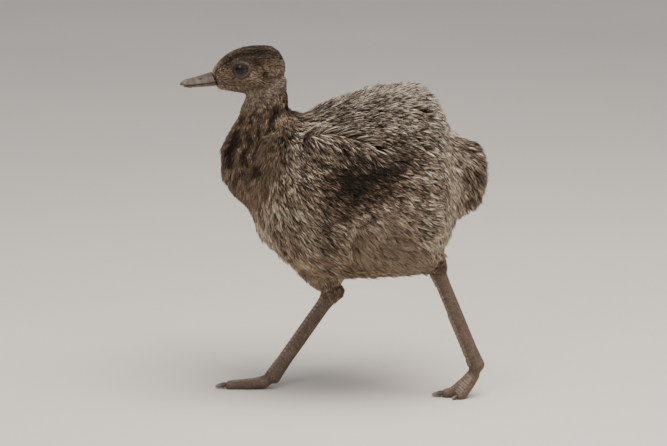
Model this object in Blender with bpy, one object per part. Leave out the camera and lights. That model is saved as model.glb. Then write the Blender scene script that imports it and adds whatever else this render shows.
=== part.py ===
"""An ostrich chick about two weeks old, caught in mid stride, as a life-size museum model.

Metres, +Z up. The chick walks towards -X, so its left side faces -Y. The right leg is planted ahead and
the left one pushes off behind, on its toe. The origin is on the floor, under the middle of the whole chick.
The solids are the chick's outline to the tips of its down, and bare skin and horn where it has no down.
"""

import math
from collections import namedtuple

import bmesh
import bpy
from mathutils import Matrix, Vector

MM = 0.001
GAP = 0.35 * MM  # between pieces that touch
TURN = 2 * math.pi

# A section of a limb or of the body: where its middle is, and its half height and half width, in millimetres.
Section = namedtuple("Section", "x y z high wide")

# The trunk, from the breast to the rump. The back is highest behind the middle.
TRUNK = (
    Section(-86, 0, 183, 35, 34),
    Section(-62, 0, 183, 57.5, 46),
    Section(-36, 0, 178, 69, 56),
    Section(-6, 0, 179.5, 77, 65),
    Section(30, 0, 184.5, 82, 70),
    Section(60, 0, 186, 80.5, 69),
    Section(86, 0, 183, 63, 59),
    Section(103, 0, 180, 45, 45),
)
TRUNK_FRONT, TRUNK_BACK = 34, 36  # lengths of its rounded ends
FOLD_RUN, FOLD_LONG = 108, 40  # the fold in the flank: how far behind the breast, and how long
FOLD_UP, FOLD_HIGH = 0.12, 0.2  # how far over the trunk's middle, and how high, in half heights
FOLD_DEPTH = 4.5

# The neck, folded in an S: back from the skull, forward over the crop and into the trunk.
NECK = (
    Section(-62, 0, 280, 13.2, 13),
    Section(-63.5, 0, 262, 17.5, 15.5),
    Section(-65.5, 0, 245, 20, 17),
    Section(-75.5, 0, 226, 19.5, 18),
    Section(-83.8, 0, 207, 21, 21),
    Section(-79.5, 0, 189.5, 22.8, 24.5),
    Section(-58, 0, 174, 29, 31),
    Section(-36, 0, 170, 32, 35),
)

# The head lies along its own axis, from the nape forward, with the bill tipped down.
NAPE = Vector((-49, 0, 284))
HEAD_PITCH = math.radians(8)
HEAD = (  # x is the distance ahead of the nape, z the height over the head's axis
    Section(0, 0, -2, 15, 14),
    Section(12, 0, -0.5, 18.8, 17),
    Section(25, 0, 0.3, 20.0, 18.6),
    Section(37, 0, 0.2, 19.3, 18.4),
    Section(48, 0, -1.2, 15.6, 15.2),
    Section(56, 0, -2.8, 11.2, 12.6),
    Section(62, 0, -3.6, 8, 11.0),
)
HEAD_BACK, HEAD_FRONT = 13, 5

EYE_RADIUS = 10.2
EYE_AHEAD, EYE_OUT, EYE_UP = 35, 9.1, 4.2
EYE_BACK = 4.5  # the eyeball is cut flat here, short of the head's middle
EAR_AHEAD, EAR_UP, EAR_RADIUS, EAR_DEPTH = 19, -3.5, 2.6, 3

GAPE_UP = -4.8  # the line between the bill's halves, over the head's axis
UPPER_BILL = (  # x ahead of the nape, z the thickness over the gape, wide the half width
    Section(52, 0, 8.2, 0, 11.0),
    Section(64, 0, 7.0, 0, 10.6),
    Section(74, 0, 5.2, 0, 9.6),
    Section(83, 0, 4.3, 0, 8.5),
    Section(90, 0, 3.2, 0, 6.6),
)
LOWER_BILL = (  # z is the thickness under the gape, as a negative height
    Section(52, 0, -4.6, 0, 10.2),
    Section(66, 0, -3.8, 0, 9.4),
    Section(78, 0, -2.9, 0, 8.1),
    Section(87.5, 0, -2.1, 0, 6.0),
)
NOSTRIL_AHEAD, NOSTRIL_OUT, NOSTRIL_UP = 73, 6.4, 4.0
NOSTRIL_SIZE = (3.4, 1.5, 1.1)

# A leg: which side it is on, the drumstick's sections from the flank down, the hock and the ball of the foot.
Leg = namedtuple("Leg", "side thigh hock ball")
LEGS = {
    "left": Leg(
        -1,
        (
            Section(2, -43, 176, 36, 28),
            Section(30, -40, 155, 40, 29.5),
            Section(54, -30, 136, 28, 24.5),
            Section(69, -20, 124, 15, 14),
            Section(77, -15, 117, 9.6, 9.6),
        ),
        Vector((76.5, -15, 118)),
        Vector((114.5, -14, 25)),
    ),
    "right": Leg(
        1,
        (
            Section(-15, 41, 174, 38, 27),
            Section(-20, 35, 147, 40, 28),
            Section(-20, 25, 119, 30, 21),
            Section(-13, 17, 99, 18, 13),
            Section(-7, 15, 88, 9.6, 9.6),
        ),
        Vector((-7, 15, 88)),
        Vector((-62, 14, 8.5)),
    ),
}
HOCK = (8.2, 7.6)  # half depth and half width of the hock joint
SHANK = (6.2, 5.5)  # the same, of the bare shank below it
BALL = (7.2, 7.4)  # and of the ball of the foot

BIG_TOE_LENGTH, BIG_TOE_HIGH, BIG_TOE_WIDE = 40, 5.0, 6.0
SMALL_TOE_LENGTH, SMALL_TOE_HIGH, SMALL_TOE_WIDE = 27, 4.0, 4.3
SMALL_TOE_SPLAY = math.radians(27)
TOE_PADS = 3
SOLE_FLAT, PAD_FLAT = 0.5, 0.5  # how far the sole is pressed flat on the floor, and its pads beyond that
BIG_CLAW_LENGTH, SMALL_CLAW_LENGTH = 11, 7

WING = (  # the folded wing, high on the flank; y is filled in from the trunk
    Section(-44, 0, 224, 14, 7),
    Section(-18, 0, 226, 18, 8),
    Section(12, 0, 222, 17, 7.5),
    Section(42, 0, 212, 11, 6.5),
)
TAIL = (
    Section(78, 0, 214, 19, 28),
    Section(96, 0, 206, 20, 30),
    Section(104.5, 0, 188, 17, 28),
    Section(100, 0, 160, 13, 22),
)

MATERIALS = {  # colour, roughness
    "down": ((0.20, 0.155, 0.11), 0.95),
    "neck_down": ((0.30, 0.21, 0.13), 0.95),
    "bare_skin": ((0.27, 0.21, 0.16), 0.7),
    "horn": ((0.17, 0.14, 0.12), 0.45),
    "claw": ((0.13, 0.11, 0.09), 0.4),
    "eye": ((0.02, 0.013, 0.01), 0.08),
}


def clear_scene():
    for old in list(bpy.data.objects):
        bpy.data.objects.remove(old)


def material(name):
    """The named material, made the first time that it is asked for."""
    found = bpy.data.materials.get(name)
    if found:
        return found
    colour, roughness = MATERIALS[name]
    made = bpy.data.materials.new(name)
    made.use_nodes = True
    shader = made.node_tree.nodes["Principled BSDF"]
    shader.inputs["Base Color"].default_value = (*colour, 1)
    shader.inputs["Roughness"].default_value = roughness
    return made


def new_object(name, bm, finish=None):
    """Puts a finished bmesh, given in millimetres, in the scene as an object in metres."""
    bmesh.ops.recalc_face_normals(bm, faces=bm.faces)
    bmesh.ops.triangulate(bm, faces=bm.faces)
    bmesh.ops.scale(bm, vec=(MM, MM, MM), verts=bm.verts)
    mesh = bpy.data.meshes.new(name)
    bm.to_mesh(mesh)
    bm.free()
    mesh.shade_smooth()
    made = bpy.data.objects.new(name, mesh)
    bpy.context.scene.collection.objects.link(made)
    if finish:
        mesh.materials.append(material(finish))
    return made


def between(sections, share):
    """The section at a share of the way along, on a Catmull-Rom curve through the given ones."""
    place = share * (len(sections) - 1)
    i = min(int(place), len(sections) - 2)
    t = place - i
    a, b = sections[i], sections[i + 1]
    before = sections[i - 1] if i else [2 * p - q for p, q in zip(a, b)]
    after = sections[i + 2] if i + 2 < len(sections) else [2 * q - p for p, q in zip(a, b)]
    return Section(
        *(
            0.5 * (2 * q + (r - p) * t + (2 * p - 5 * q + 4 * r - s) * t**2 + (3 * q - p - 3 * r + s) * t**3)
            for p, q, r, s in zip(before, a, b, after)
        )
    )


def rounding(distance, cap):
    """How much of the full width a rounded end has, this far in from its tip."""
    inside = min(max(distance / cap, 0.0), 1.0)
    return math.sqrt(1 - (1 - inside) ** 2)


def loft(sections, rings, sides, front=4.0, back=4.0, relief=None, floor=None, upright=False):
    """A closed tube of oval rings along the sections, with rounded ends front and back millimetres long.

    relief(run, angle) pushes the surface out, and floor flattens whatever would reach below that height.
    The rings stand square to the line of middles, or upright if that is asked for.
    """
    shares = [0.5 - 0.5 * math.cos(math.pi * i / (rings + 1)) for i in range(1, rings + 1)]
    line = [between(sections, s) for s in [0, *shares, 1]]
    middles = [Vector(s[:3]) for s in line]
    runs = [0.0]
    for a, b in zip(middles, middles[1:]):
        runs.append(runs[-1] + (b - a).length)
    bm = bmesh.new()
    loops = []
    for i in range(1, rings + 1):
        along = Vector((1, 0, 0)) if upright else (middles[i + 1] - middles[i - 1]).normalized()
        across = (Vector((0, 1, 0)) - along * along.y).normalized()
        up = across.cross(along).normalized()
        swell = rounding(runs[i], front) * rounding(runs[-1] - runs[i], back)
        ring = []
        for k in range(sides):
            angle = TURN * k / sides
            more = relief(runs[i], angle) * swell if relief else 0.0
            out = across * math.cos(angle) * (line[i].wide * swell + more)
            out += up * math.sin(angle) * (line[i].high * swell + more)
            ring.append(bm.verts.new(middles[i] + out))
        loops.append(ring)
    for one, two in zip(loops, loops[1:]):
        for k in range(sides):
            bm.faces.new((one[k], one[k - 1], two[k - 1], two[k]))
    for ring, end in ((loops[0], middles[0]), (loops[-1], middles[-1])):
        pole = bm.verts.new(end)
        for k in range(sides):
            bm.faces.new((ring[k - 1], ring[k], pole))
    if floor is not None:
        for vertex in bm.verts:
            vertex.co.z = max(vertex.co.z, floor)
    return bm


def boolean(target, other, operation):
    """Joins other to target, or cuts it away, and applies that. The result is in triangles."""
    modifier = target.modifiers.new(operation.lower(), "BOOLEAN")
    modifier.operation = operation
    modifier.object = other
    graph = bpy.context.evaluated_depsgraph_get()
    bm = bmesh.new()
    bm.from_object(target, graph)
    bmesh.ops.triangulate(bm, faces=bm.faces)
    target.modifiers.clear()
    bm.to_mesh(target.data)
    bm.free()
    return target


def discard(*objects):
    for old in objects:
        bpy.data.objects.remove(old)


def clearance(obj):
    """A copy of the object that is larger all round by the gap, to cut its neighbours back with."""
    bm = bmesh.new()
    bm.from_mesh(obj.data)
    bm.normal_update()
    for vertex in bm.verts:
        vertex.co += vertex.normal * vertex.calc_shell_factor() * GAP
    mesh = bpy.data.meshes.new("clearance")
    bm.to_mesh(mesh)
    bm.free()
    made = bpy.data.objects.new("clearance", mesh)
    bpy.context.scene.collection.objects.link(made)
    return made


def cut_back(obj, *neighbours):
    """Cuts the object back from each neighbour, leaving the gap."""
    for neighbour in neighbours:
        room = clearance(neighbour)
        boolean(obj, room, "DIFFERENCE")
        discard(room)
    return largest_body(obj)


def largest_body(obj):
    """Drops the crumbs that a cut can leave."""
    bm = bmesh.new()
    bm.from_mesh(obj.data)
    unseen, bodies = set(bm.verts), []
    while unseen:
        start = unseen.pop()
        body, edge = {start}, [start]
        while edge:
            for link in edge.pop().link_edges:
                for vertex in link.verts:
                    if vertex in unseen:
                        unseen.discard(vertex)
                        body.add(vertex)
                        edge.append(vertex)
        bodies.append(body)
    keep = max(bodies, key=len)
    bmesh.ops.delete(bm, geom=[v for v in bm.verts if v not in keep], context="VERTS")
    bm.to_mesh(obj.data)
    bm.free()
    return obj


def half_of(obj, name, point, normal, finish):
    """The part of the object on the side of a plane that its normal points to, half a gap from the plane."""
    bm = bmesh.new()
    bm.from_mesh(obj.data)
    normal = Vector(normal).normalized()
    plane = Vector(point) * MM + normal * GAP / 2
    geometry = [*bm.verts, *bm.edges, *bm.faces]
    bmesh.ops.bisect_plane(bm, geom=geometry, plane_co=plane, plane_no=normal, clear_inner=True)
    bmesh.ops.holes_fill(bm, edges=[e for e in bm.edges if e.is_boundary], sides=0)
    bmesh.ops.recalc_face_normals(bm, faces=bm.faces)
    bmesh.ops.triangulate(bm, faces=bm.faces)
    mesh = bpy.data.meshes.new(name)
    bm.to_mesh(mesh)
    bm.free()
    mesh.materials.clear()
    mesh.materials.append(material(finish))
    made = bpy.data.objects.new(name, mesh)
    bpy.context.scene.collection.objects.link(made)
    return made


def trunk_relief(run, angle):
    """The fold in each flank, between the wing above it and the thigh below."""
    along = (run - FOLD_RUN) / FOLD_LONG
    up = (math.sin(angle) - FOLD_UP) / FOLD_HIGH
    return -FOLD_DEPTH * math.exp(-along * along - up * up)


def on_head(ahead, out, up):
    """A place given from the nape, in the head's own directions, as a place in the chick."""
    forward = Vector((-math.cos(HEAD_PITCH), 0, -math.sin(HEAD_PITCH)))
    over = Vector((-math.sin(HEAD_PITCH), 0, math.cos(HEAD_PITCH)))
    return NAPE + forward * ahead + Vector((0, out, 0)) + over * up


def head_sections():
    return [Section(*on_head(s.x, 0, s.z), s.high, s.wide) for s in HEAD]


def trunk_side(x, z):
    """Half the trunk's width at this place along it and height."""
    share = 0.0
    for i, (a, b) in enumerate(zip(TRUNK, TRUNK[1:])):
        if a.x <= x <= b.x:
            share = (i + (x - a.x) / (b.x - a.x)) / (len(TRUNK) - 1)
    s = between(TRUNK, share)
    return s.wide * math.sqrt(max(0.0, 1 - ((z - s.z) / s.high) ** 2))


def make_body():
    """Trunk, neck and head, made whole and parted by two thin cuts."""
    whole = new_object("whole", loft(TRUNK, 26, 36, TRUNK_FRONT, TRUNK_BACK, trunk_relief, upright=True))
    neck = new_object("neck_whole", loft(NECK, 14, 20, 6, 20))
    head = new_object("head_whole", loft(head_sections(), 14, 22, HEAD_BACK, HEAD_FRONT))
    boolean(whole, neck, "UNION")
    boolean(whole, head, "UNION")
    discard(neck, head)
    # From the notch behind the neck down to the breast, and from the nape forward under the throat.
    neck_base, neck_base_to_trunk = (-64, 0, 200), (0.9, 0, -0.43)
    skull_base, skull_base_to_head = (-66, 0, 256), (-0.50, 0, 0.866)
    trunk = half_of(whole, "trunk", neck_base, neck_base_to_trunk, "down")
    front = half_of(whole, "front", neck_base, [-n for n in neck_base_to_trunk], "down")
    head = half_of(front, "head", skull_base, skull_base_to_head, "neck_down")
    neck = half_of(front, "neck", skull_base, [-n for n in skull_base_to_head], "neck_down")
    discard(whole, front)
    return trunk, neck, head


def ball_of(name, middle, radii, finish=None, segments=20, rings=12, turn=None):
    bm = bmesh.new()
    bmesh.ops.create_uvsphere(bm, u_segments=segments, v_segments=rings, radius=1)
    bmesh.ops.scale(bm, vec=radii, verts=bm.verts)
    if turn:
        bmesh.ops.rotate(bm, matrix=turn, verts=bm.verts)
    bmesh.ops.translate(bm, vec=middle, verts=bm.verts)
    return new_object(name, bm, finish)


def make_eyes(head):
    """An eyeball in a socket on each side, and the ear's opening behind it."""
    for side, name in ((-1, "eye_left"), (1, "eye_right")):
        bm = bmesh.new()
        bmesh.ops.create_uvsphere(bm, u_segments=14, v_segments=12, radius=EYE_RADIUS)
        outwards = Matrix.Rotation(-side * math.pi / 2, 3, "X")
        bmesh.ops.rotate(bm, matrix=outwards, verts=bm.verts)
        bmesh.ops.translate(bm, vec=on_head(EYE_AHEAD, side * EYE_OUT, EYE_UP), verts=bm.verts)
        geometry = [*bm.verts, *bm.edges, *bm.faces]
        bmesh.ops.bisect_plane(
            bm, geom=geometry, plane_co=(0, side * EYE_BACK, 0), plane_no=(0, side, 0), clear_inner=True
        )
        bmesh.ops.holes_fill(bm, edges=[e for e in bm.edges if e.is_boundary], sides=0)
        eye = new_object(name, bm, "eye")
        socket = clearance(eye)
        boolean(head, socket, "DIFFERENCE")
        discard(socket)
        middle = on_head(EAR_AHEAD, side * 17.5, EAR_UP)
        ear = ball_of("ear", middle, (EAR_RADIUS, EAR_DEPTH, EAR_RADIUS), None, 10, 6)
        boolean(head, ear, "DIFFERENCE")
        discard(ear)


def bill_half(sections, over, rings=9, sides=8):
    """Half a bill: a flat face on the gape, and an arch over it (1) or under it (-1), with a round tip."""
    bm = bmesh.new()
    loops = []
    tip = sections[-1].x
    for i in range(rings):
        share = math.sin(math.pi / 2 * i / (rings - 1))
        s = between(sections, share)
        swell = max(rounding(tip - s.x, 7), 0.12)
        ring = []
        for k in range(sides + 1):
            angle = math.pi * k / sides
            out = s.wide * swell * math.cos(angle)
            high = s.z * swell * math.sin(angle) ** 0.8 + over * GAP / MM / 2
            ring.append(bm.verts.new(on_head(s.x, out, GAPE_UP + high)))
        loops.append(ring)
    for one, two in zip(loops, loops[1:]):
        for k in range(sides + 1):
            bm.faces.new((one[k], one[k - 1], two[k - 1], two[k]))
    bm.faces.new(loops[0])
    bm.faces.new(loops[-1])
    return bm


def make_bill(head):
    upper = new_object("bill_upper", bill_half(UPPER_BILL, 1), "horn")
    lower = new_object("bill_lower", bill_half(LOWER_BILL, -1), "horn")
    slope = Matrix.Rotation(-HEAD_PITCH, 3, "Y")
    for side in (-1, 1):
        middle = on_head(NOSTRIL_AHEAD, side * NOSTRIL_OUT, NOSTRIL_UP + GAPE_UP)
        hole = ball_of("nostril", middle, NOSTRIL_SIZE, None, 8, 6, slope)
        boolean(upper, hole, "DIFFERENCE")
        discard(hole)
    for half in (upper, lower):
        cut_back(half, head)


def make_wings(trunk):
    for side, name in ((-1, "wing_left"), (1, "wing_right")):
        sections = [
            Section(s.x, side * (trunk_side(s.x, s.z) + 0.5), s.z, s.high, s.wide) for s in WING
        ]
        wing = new_object(name, loft(sections, 8, 14, 16, 20), "down")
        cut_back(wing, trunk)


def make_tail(trunk):
    tail = new_object("tail", loft(TAIL, 8, 16, 8, 14), "down")
    cut_back(tail, trunk)


def toe(ball, length, high, wide, splay, side, lifted):
    """A toe's sections from the ball of the foot forward. Under a lifted heel it bends down to its tip."""
    reach = 0.78 if lifted else 1.0
    bend = 1.35 if lifted else 2.2
    sections = []
    for i in range(9):
        share = i / 8
        ahead = length * share * reach
        pad = 0.5 - 0.5 * math.cos(TURN * TOE_PADS * share)
        slim = (1 - 0.28 * share**2) * (0.94 + 0.08 * pad)
        lift = (ball.z - high) * max(0.0, 1 - share * bend) ** 1.3
        x = ball.x - ahead * math.cos(splay)
        y = ball.y + side * ahead * math.sin(splay)
        z = high * slim - SOLE_FLAT - PAD_FLAT * pad + lift
        sections.append(Section(x, y, z, high * slim, wide * slim))
    return sections


def make_claw(name, sections, length):
    """A blunt nail on the end of a toe, hooked down towards the floor."""
    last, before = sections[-1], sections[-2]
    forward = Vector((last.x - before.x, last.y - before.y, 0)).normalized()
    claw = []
    for i in range(4):
        share = i / 3
        at = Vector(last[:3]) + forward * (length * share - 3.0)
        at.z += 0.6 - 1.6 * share**2
        slim = 0.8 - 0.48 * share
        claw.append(Section(*at, last.high * slim, last.wide * slim))
    return new_object(name, loft(claw, 4, 8, 1.5, 2.0), "claw")


def make_leg(name, leg, trunk):
    """Drumstick, bare shank and two toes with their nails."""
    thigh = new_object(f"thigh_{name}", loft(leg.thigh, 10, 18, 26, 5), "down")
    cut_back(thigh, trunk)
    down_leg = leg.ball - leg.hock
    sections = []
    for share, (deep, wide) in (
        (-0.05, HOCK), (0.03, HOCK), (0.14, SHANK), (0.5, SHANK), (0.86, SHANK), (0.97, BALL), (1.03, BALL)
    ):
        at = leg.hock + down_leg * share
        sections.append(Section(at.x, at.y, at.z, deep, wide))
    shank = new_object(f"shank_{name}", loft(sections, 11, 10, 7, 6, floor=0.8), "bare_skin")
    cut_back(shank, thigh, trunk)
    lifted = leg.ball.z > 15
    big = toe(leg.ball, BIG_TOE_LENGTH, BIG_TOE_HIGH, BIG_TOE_WIDE, 0.0, leg.side, lifted)
    small = toe(
        leg.ball, SMALL_TOE_LENGTH, SMALL_TOE_HIGH, SMALL_TOE_WIDE, SMALL_TOE_SPLAY, leg.side, lifted
    )
    big_toe = new_object(f"toe_inner_{name}", loft(big, 11, 12, 4, 4, floor=0.0), "bare_skin")
    small_toe = new_object(f"toe_outer_{name}", loft(small, 8, 12, 4, 3, floor=0.0), "bare_skin")
    cut_back(make_claw(f"claw_inner_{name}", big, BIG_CLAW_LENGTH), big_toe)
    cut_back(make_claw(f"claw_outer_{name}", small, SMALL_CLAW_LENGTH), small_toe)
    cut_back(big_toe, shank)
    cut_back(small_toe, shank, big_toe)


def centre_on_floor():
    """Moves the chick so that the middle of its floor space is at the origin."""
    solids = [o for o in bpy.context.scene.objects if o.type == "MESH"]
    corners = [v.co for o in solids for v in o.data.vertices]
    low = [min(c[i] for c in corners) for i in range(3)]
    high = [max(c[i] for c in corners) for i in range(3)]
    shift = Matrix.Translation((-(low[0] + high[0]) / 2, -(low[1] + high[1]) / 2, -low[2]))
    for solid in solids:
        solid.data.transform(shift)


def main():
    clear_scene()
    trunk, _, head = make_body()
    make_eyes(head)
    make_bill(head)
    make_tail(trunk)
    make_wings(trunk)
    for name, leg in LEGS.items():
        make_leg(name, leg, trunk)
    centre_on_floor()


main()
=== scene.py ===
"""How the walking ostrich chick looks: its skin, down, eyes, bill, scaled legs and nails, in studio light."""

import math

import bmesh
import bpy
import numpy as np
from mathutils import Matrix, Vector, noise
from mathutils.bvhtree import BVHTree
from mathutils.kdtree import KDTree


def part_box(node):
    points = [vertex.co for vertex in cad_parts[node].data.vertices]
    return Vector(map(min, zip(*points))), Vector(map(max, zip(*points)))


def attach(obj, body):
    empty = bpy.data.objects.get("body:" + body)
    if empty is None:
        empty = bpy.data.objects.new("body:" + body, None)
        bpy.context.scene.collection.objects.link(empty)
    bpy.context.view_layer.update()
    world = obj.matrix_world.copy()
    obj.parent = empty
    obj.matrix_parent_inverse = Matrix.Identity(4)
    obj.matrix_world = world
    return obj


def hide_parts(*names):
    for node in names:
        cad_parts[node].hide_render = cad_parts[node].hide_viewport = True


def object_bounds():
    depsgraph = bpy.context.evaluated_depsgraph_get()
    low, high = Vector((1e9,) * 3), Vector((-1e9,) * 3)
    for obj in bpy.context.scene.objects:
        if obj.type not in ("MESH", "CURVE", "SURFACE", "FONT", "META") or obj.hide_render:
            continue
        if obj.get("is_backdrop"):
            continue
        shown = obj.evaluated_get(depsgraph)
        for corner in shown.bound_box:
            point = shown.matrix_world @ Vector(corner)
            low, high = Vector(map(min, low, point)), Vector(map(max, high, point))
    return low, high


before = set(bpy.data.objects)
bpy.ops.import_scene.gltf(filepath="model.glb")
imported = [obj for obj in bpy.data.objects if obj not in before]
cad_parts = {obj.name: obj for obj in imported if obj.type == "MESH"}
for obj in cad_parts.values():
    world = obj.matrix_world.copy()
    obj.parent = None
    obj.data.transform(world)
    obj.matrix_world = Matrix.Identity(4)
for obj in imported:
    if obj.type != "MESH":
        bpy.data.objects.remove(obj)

cad_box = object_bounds()

# ------------------------------------------------------------------------------
# Skin
# The chick's own skin, in one sheet from the root of the bill to the tips of the toes. It is soft and thin
# under the down, which it carries, and thick, bare and scaled from the hocks to the toes.

SIDES = {"left": -1, "right": 1}
SKIN_VOXEL = 0.00165
NODE_GROWTH = 0.0003  # closes the gaps between the solids before they are made one
DOWN_DEPTH = {  # from the skin to the tips of the down, in metres
    "trunk": 0.0105, "neck": 0.0046, "head": 0.0020, "tail": 0.0100, "wing": 0.0080, "thigh": 0.0062,
    "shank": 0.0, "toe": 0.0, "eye": 0.0020,
}
SOFT_BODY = {"trunk": 0.9, "tail": 1.0, "wing": 1.0, "neck": 0.35}  # how far edges are rounded off there
HOCK_HEIGHT = 0.007  # how much of the shank's top counts as the hock
HOCK_DOWN, FULL_DOWN = 0.25, 0.045  # share of its depth at the hock, and where the drumstick has it all
FRINGE_DEPTH, FRINGE_END = 0.0024, 0.017  # of the down on the shank, and how far it reaches from the hock
CROP_FORMS = (  # the crop's underside runs smoothly into the breast: middle, radius and how far out
    ((-0.066, 0, 0.148), 0.014, 0.0035),
    ((-0.085, 0, 0.167), 0.009, -0.0020),
)
NEAR_BLEND, WIDE_BLEND = 50, 110  # rounds of evening out, by which one region's coat passes into the next
SETTLING, LEG_SETTLING, SOFT_SETTLING, JOIN_SETTLING = 10, 5, 70, 200  # rounds of smoothing
JOIN_STRENGTH = 4.4  # higher settles more of the skin where the tail and neck join
REGIONS = list(DOWN_DEPTH)
BARE_REGIONS = ("shank", "toe")
FINE_REGIONS = ("head", "shank", "toe")  # where the sheet has smaller squares


def solid_copy(bm, name, growth=0.0):
    """Adds a merged copy of a solid to the bmesh, grown a little."""
    part = bmesh.new()
    part.from_mesh(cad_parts[name].data)
    bmesh.ops.remove_doubles(part, verts=part.verts, dist=1e-5)
    part.normal_update()
    for vertex in part.verts:
        vertex.co += vertex.normal * growth
    mesh = bpy.data.meshes.new("part")
    part.to_mesh(mesh)
    part.free()
    bm.from_mesh(mesh)
    bpy.data.meshes.remove(mesh)


def placed(name, data):
    """Puts a mesh, a light or a camera in the scene."""
    thing = bpy.data.objects.new(name, data)
    bpy.context.scene.collection.objects.link(thing)
    return thing


def new_piece(name, bm, material=None):
    mesh = bpy.data.meshes.new(name)
    bm.to_mesh(mesh)
    bm.free()
    if material:
        mesh.shade_smooth()
        mesh.materials.append(material)
    return placed(name, mesh)


def made_one(piece, voxel):
    """Remeshes the piece into one closed sheet of even squares."""
    remesh = piece.modifiers.new("one sheet", "REMESH")
    remesh.mode = "VOXEL"
    remesh.voxel_size = voxel
    graph = bpy.context.evaluated_depsgraph_get()
    mesh = bpy.data.meshes.new_from_object(piece.evaluated_get(graph))
    piece.modifiers.clear()
    old = piece.data
    piece.data = mesh
    bpy.data.meshes.remove(old)
    mesh.name = piece.name
    return mesh


def read_vectors(items, name):
    found = np.empty(len(items) * 3)
    items.foreach_get(name, found)
    return found.reshape(-1, 3)


def edges_of(mesh):
    found = np.empty(len(mesh.edges) * 2, int)
    mesh.edges.foreach_get("vertices", found)
    return found.reshape(-1, 2)


def spread(values, edges, rounds):
    """Evens out what the points of a mesh carry, by averaging each with its neighbours."""
    values = np.array(values, float)
    flat = values.reshape(len(values), -1)
    one, two = edges.T
    count = np.maximum(np.bincount(edges.ravel(), minlength=len(values)), 1)
    for _ in range(rounds):
        for column in flat.T:
            total = np.bincount(one, column[two], len(values)) + np.bincount(two, column[one], len(values))
            column += (total / count - column) / 2
    return flat.reshape(values.shape)


def length(vectors):
    return np.linalg.norm(vectors, axis=-1)


def unit(vectors):
    return vectors / np.maximum(length(vectors), 1e-9)[..., None]


def along_surface(vectors, normals):
    """Turns each direction into the surface that its normal stands on."""
    return unit(vectors - normals * (vectors * normals).sum(1, keepdims=True))


def numbers(items, values, name="value"):
    items.foreach_set(name, np.ascontiguousarray(values, np.float32).ravel())


def move_points(mesh, at):
    numbers(mesh.vertices, at, "co")
    mesh.update()


def give_points(mesh, name, values):
    """Gives every point of a mesh a number that its material reads."""
    numbers(mesh.attributes.new(name, "FLOAT", "POINT").data, values)


def fade(values, start, end):
    """0 before start, 1 after end, and a smooth rise between them."""
    t = np.clip((np.asarray(values) - start) / (end - start), 0, 1)
    return t * t * (3 - 2 * t)


def nearness(away, radius):
    """1 at a spot and almost 0 at twice the radius, from the way there."""
    return np.exp(-(away**2).sum(1) / radius**2)


def numbers_of(*names):
    """The numbers of these regions."""
    return [REGIONS.index(n) for n in names]


flesh_names = [n for n in sorted(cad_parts) if n.split("_")[0] in REGIONS]
flesh = bmesh.new()
solid_triangles, solid_points, solid_names = [], [], []
for node_name in flesh_names:
    solid_copy(flesh, node_name, NODE_GROWTH)
    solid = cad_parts[node_name].data
    start = len(solid_points)
    solid_points.extend(v.co.copy() for v in solid.vertices)
    solid_triangles.extend([start + i for i in p.vertices] for p in solid.polygons)
    solid_names.extend([node_name] * len(solid.polygons))
solids_tree = BVHTree.FromPolygons(solid_points, solid_triangles)

skin = new_piece("skin", flesh)
skin_mesh = made_one(skin, SKIN_VOXEL)
finer = bmesh.new()
finer.from_mesh(skin_mesh)
fine_boxes = [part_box(n) for n in flesh_names if n.split("_")[0] in FINE_REGIONS]
fine_points = {
    v for v in finer.verts
    if any(all(low[i] - 0.001 < v.co[i] < high[i] + 0.001 for i in range(3)) for low, high in fine_boxes)
}
fine_edges = [e for e in finer.edges if all(v in fine_points for v in e.verts)]
bmesh.ops.subdivide_edges(finer, edges=fine_edges, cuts=1, use_grid_fill=True)
finer.to_mesh(skin_mesh)
finer.free()
skin_mesh.shade_smooth()

# Which solid each place of the skin belongs to, and how much of each region is near it.
edges = edges_of(skin_mesh)
outer = read_vectors(skin_mesh.vertices, "co")
nearest_solid = np.array([solid_names[solids_tree.find_nearest(Vector(p))[2]] for p in outer])
region = np.array([REGIONS.index(n.split("_")[0]) for n in nearest_solid])
shares = spread(np.eye(len(REGIONS))[region], edges, NEAR_BLEND)
wide_shares = spread(shares, edges, WIDE_BLEND)
bare = np.isin(region, numbers_of(*BARE_REGIONS))

# The coat's depth changes slowly over the body, and quickly on the head and legs.
full_depth = np.array(list(DOWN_DEPTH.values()))
depth = shares @ full_depth
crisp = numbers_of("head", "eye", "thigh", *BARE_REGIONS)
gradual = 1 - fade(wide_shares[:, crisp].sum(1), 0.15, 0.60)
depth += gradual * (wide_shares @ full_depth - depth)

# The drumstick's down thins towards the hock.
hock = {}
for side in SIDES:
    shank_points = read_vectors(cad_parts[f"shank_{side}"].data.vertices, "co")
    top = shank_points[:, 2].max()
    hock[side] = shank_points[shank_points[:, 2] > top - HOCK_HEIGHT].mean(0)
    thick = fade(length(outer - hock[side]), 0.006, FULL_DOWN)
    thinned = depth * (HOCK_DOWN + (1 - HOCK_DOWN) * thick)
    depth = np.where(nearest_solid == f"thigh_{side}", thinned, depth)
depth[bare] = 0.0
depth = spread(depth, edges, 3)
depth[bare] = 0.0

# Short down runs out over the top of each bare shank.
coat_depth = depth.copy()
for side, joint in hock.items():
    fringe = FRINGE_DEPTH * (1 - fade(length(outer - joint), 0.004, FRINGE_END))
    coat_depth = np.where(nearest_solid == f"shank_{side}", fringe, coat_depth)

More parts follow.
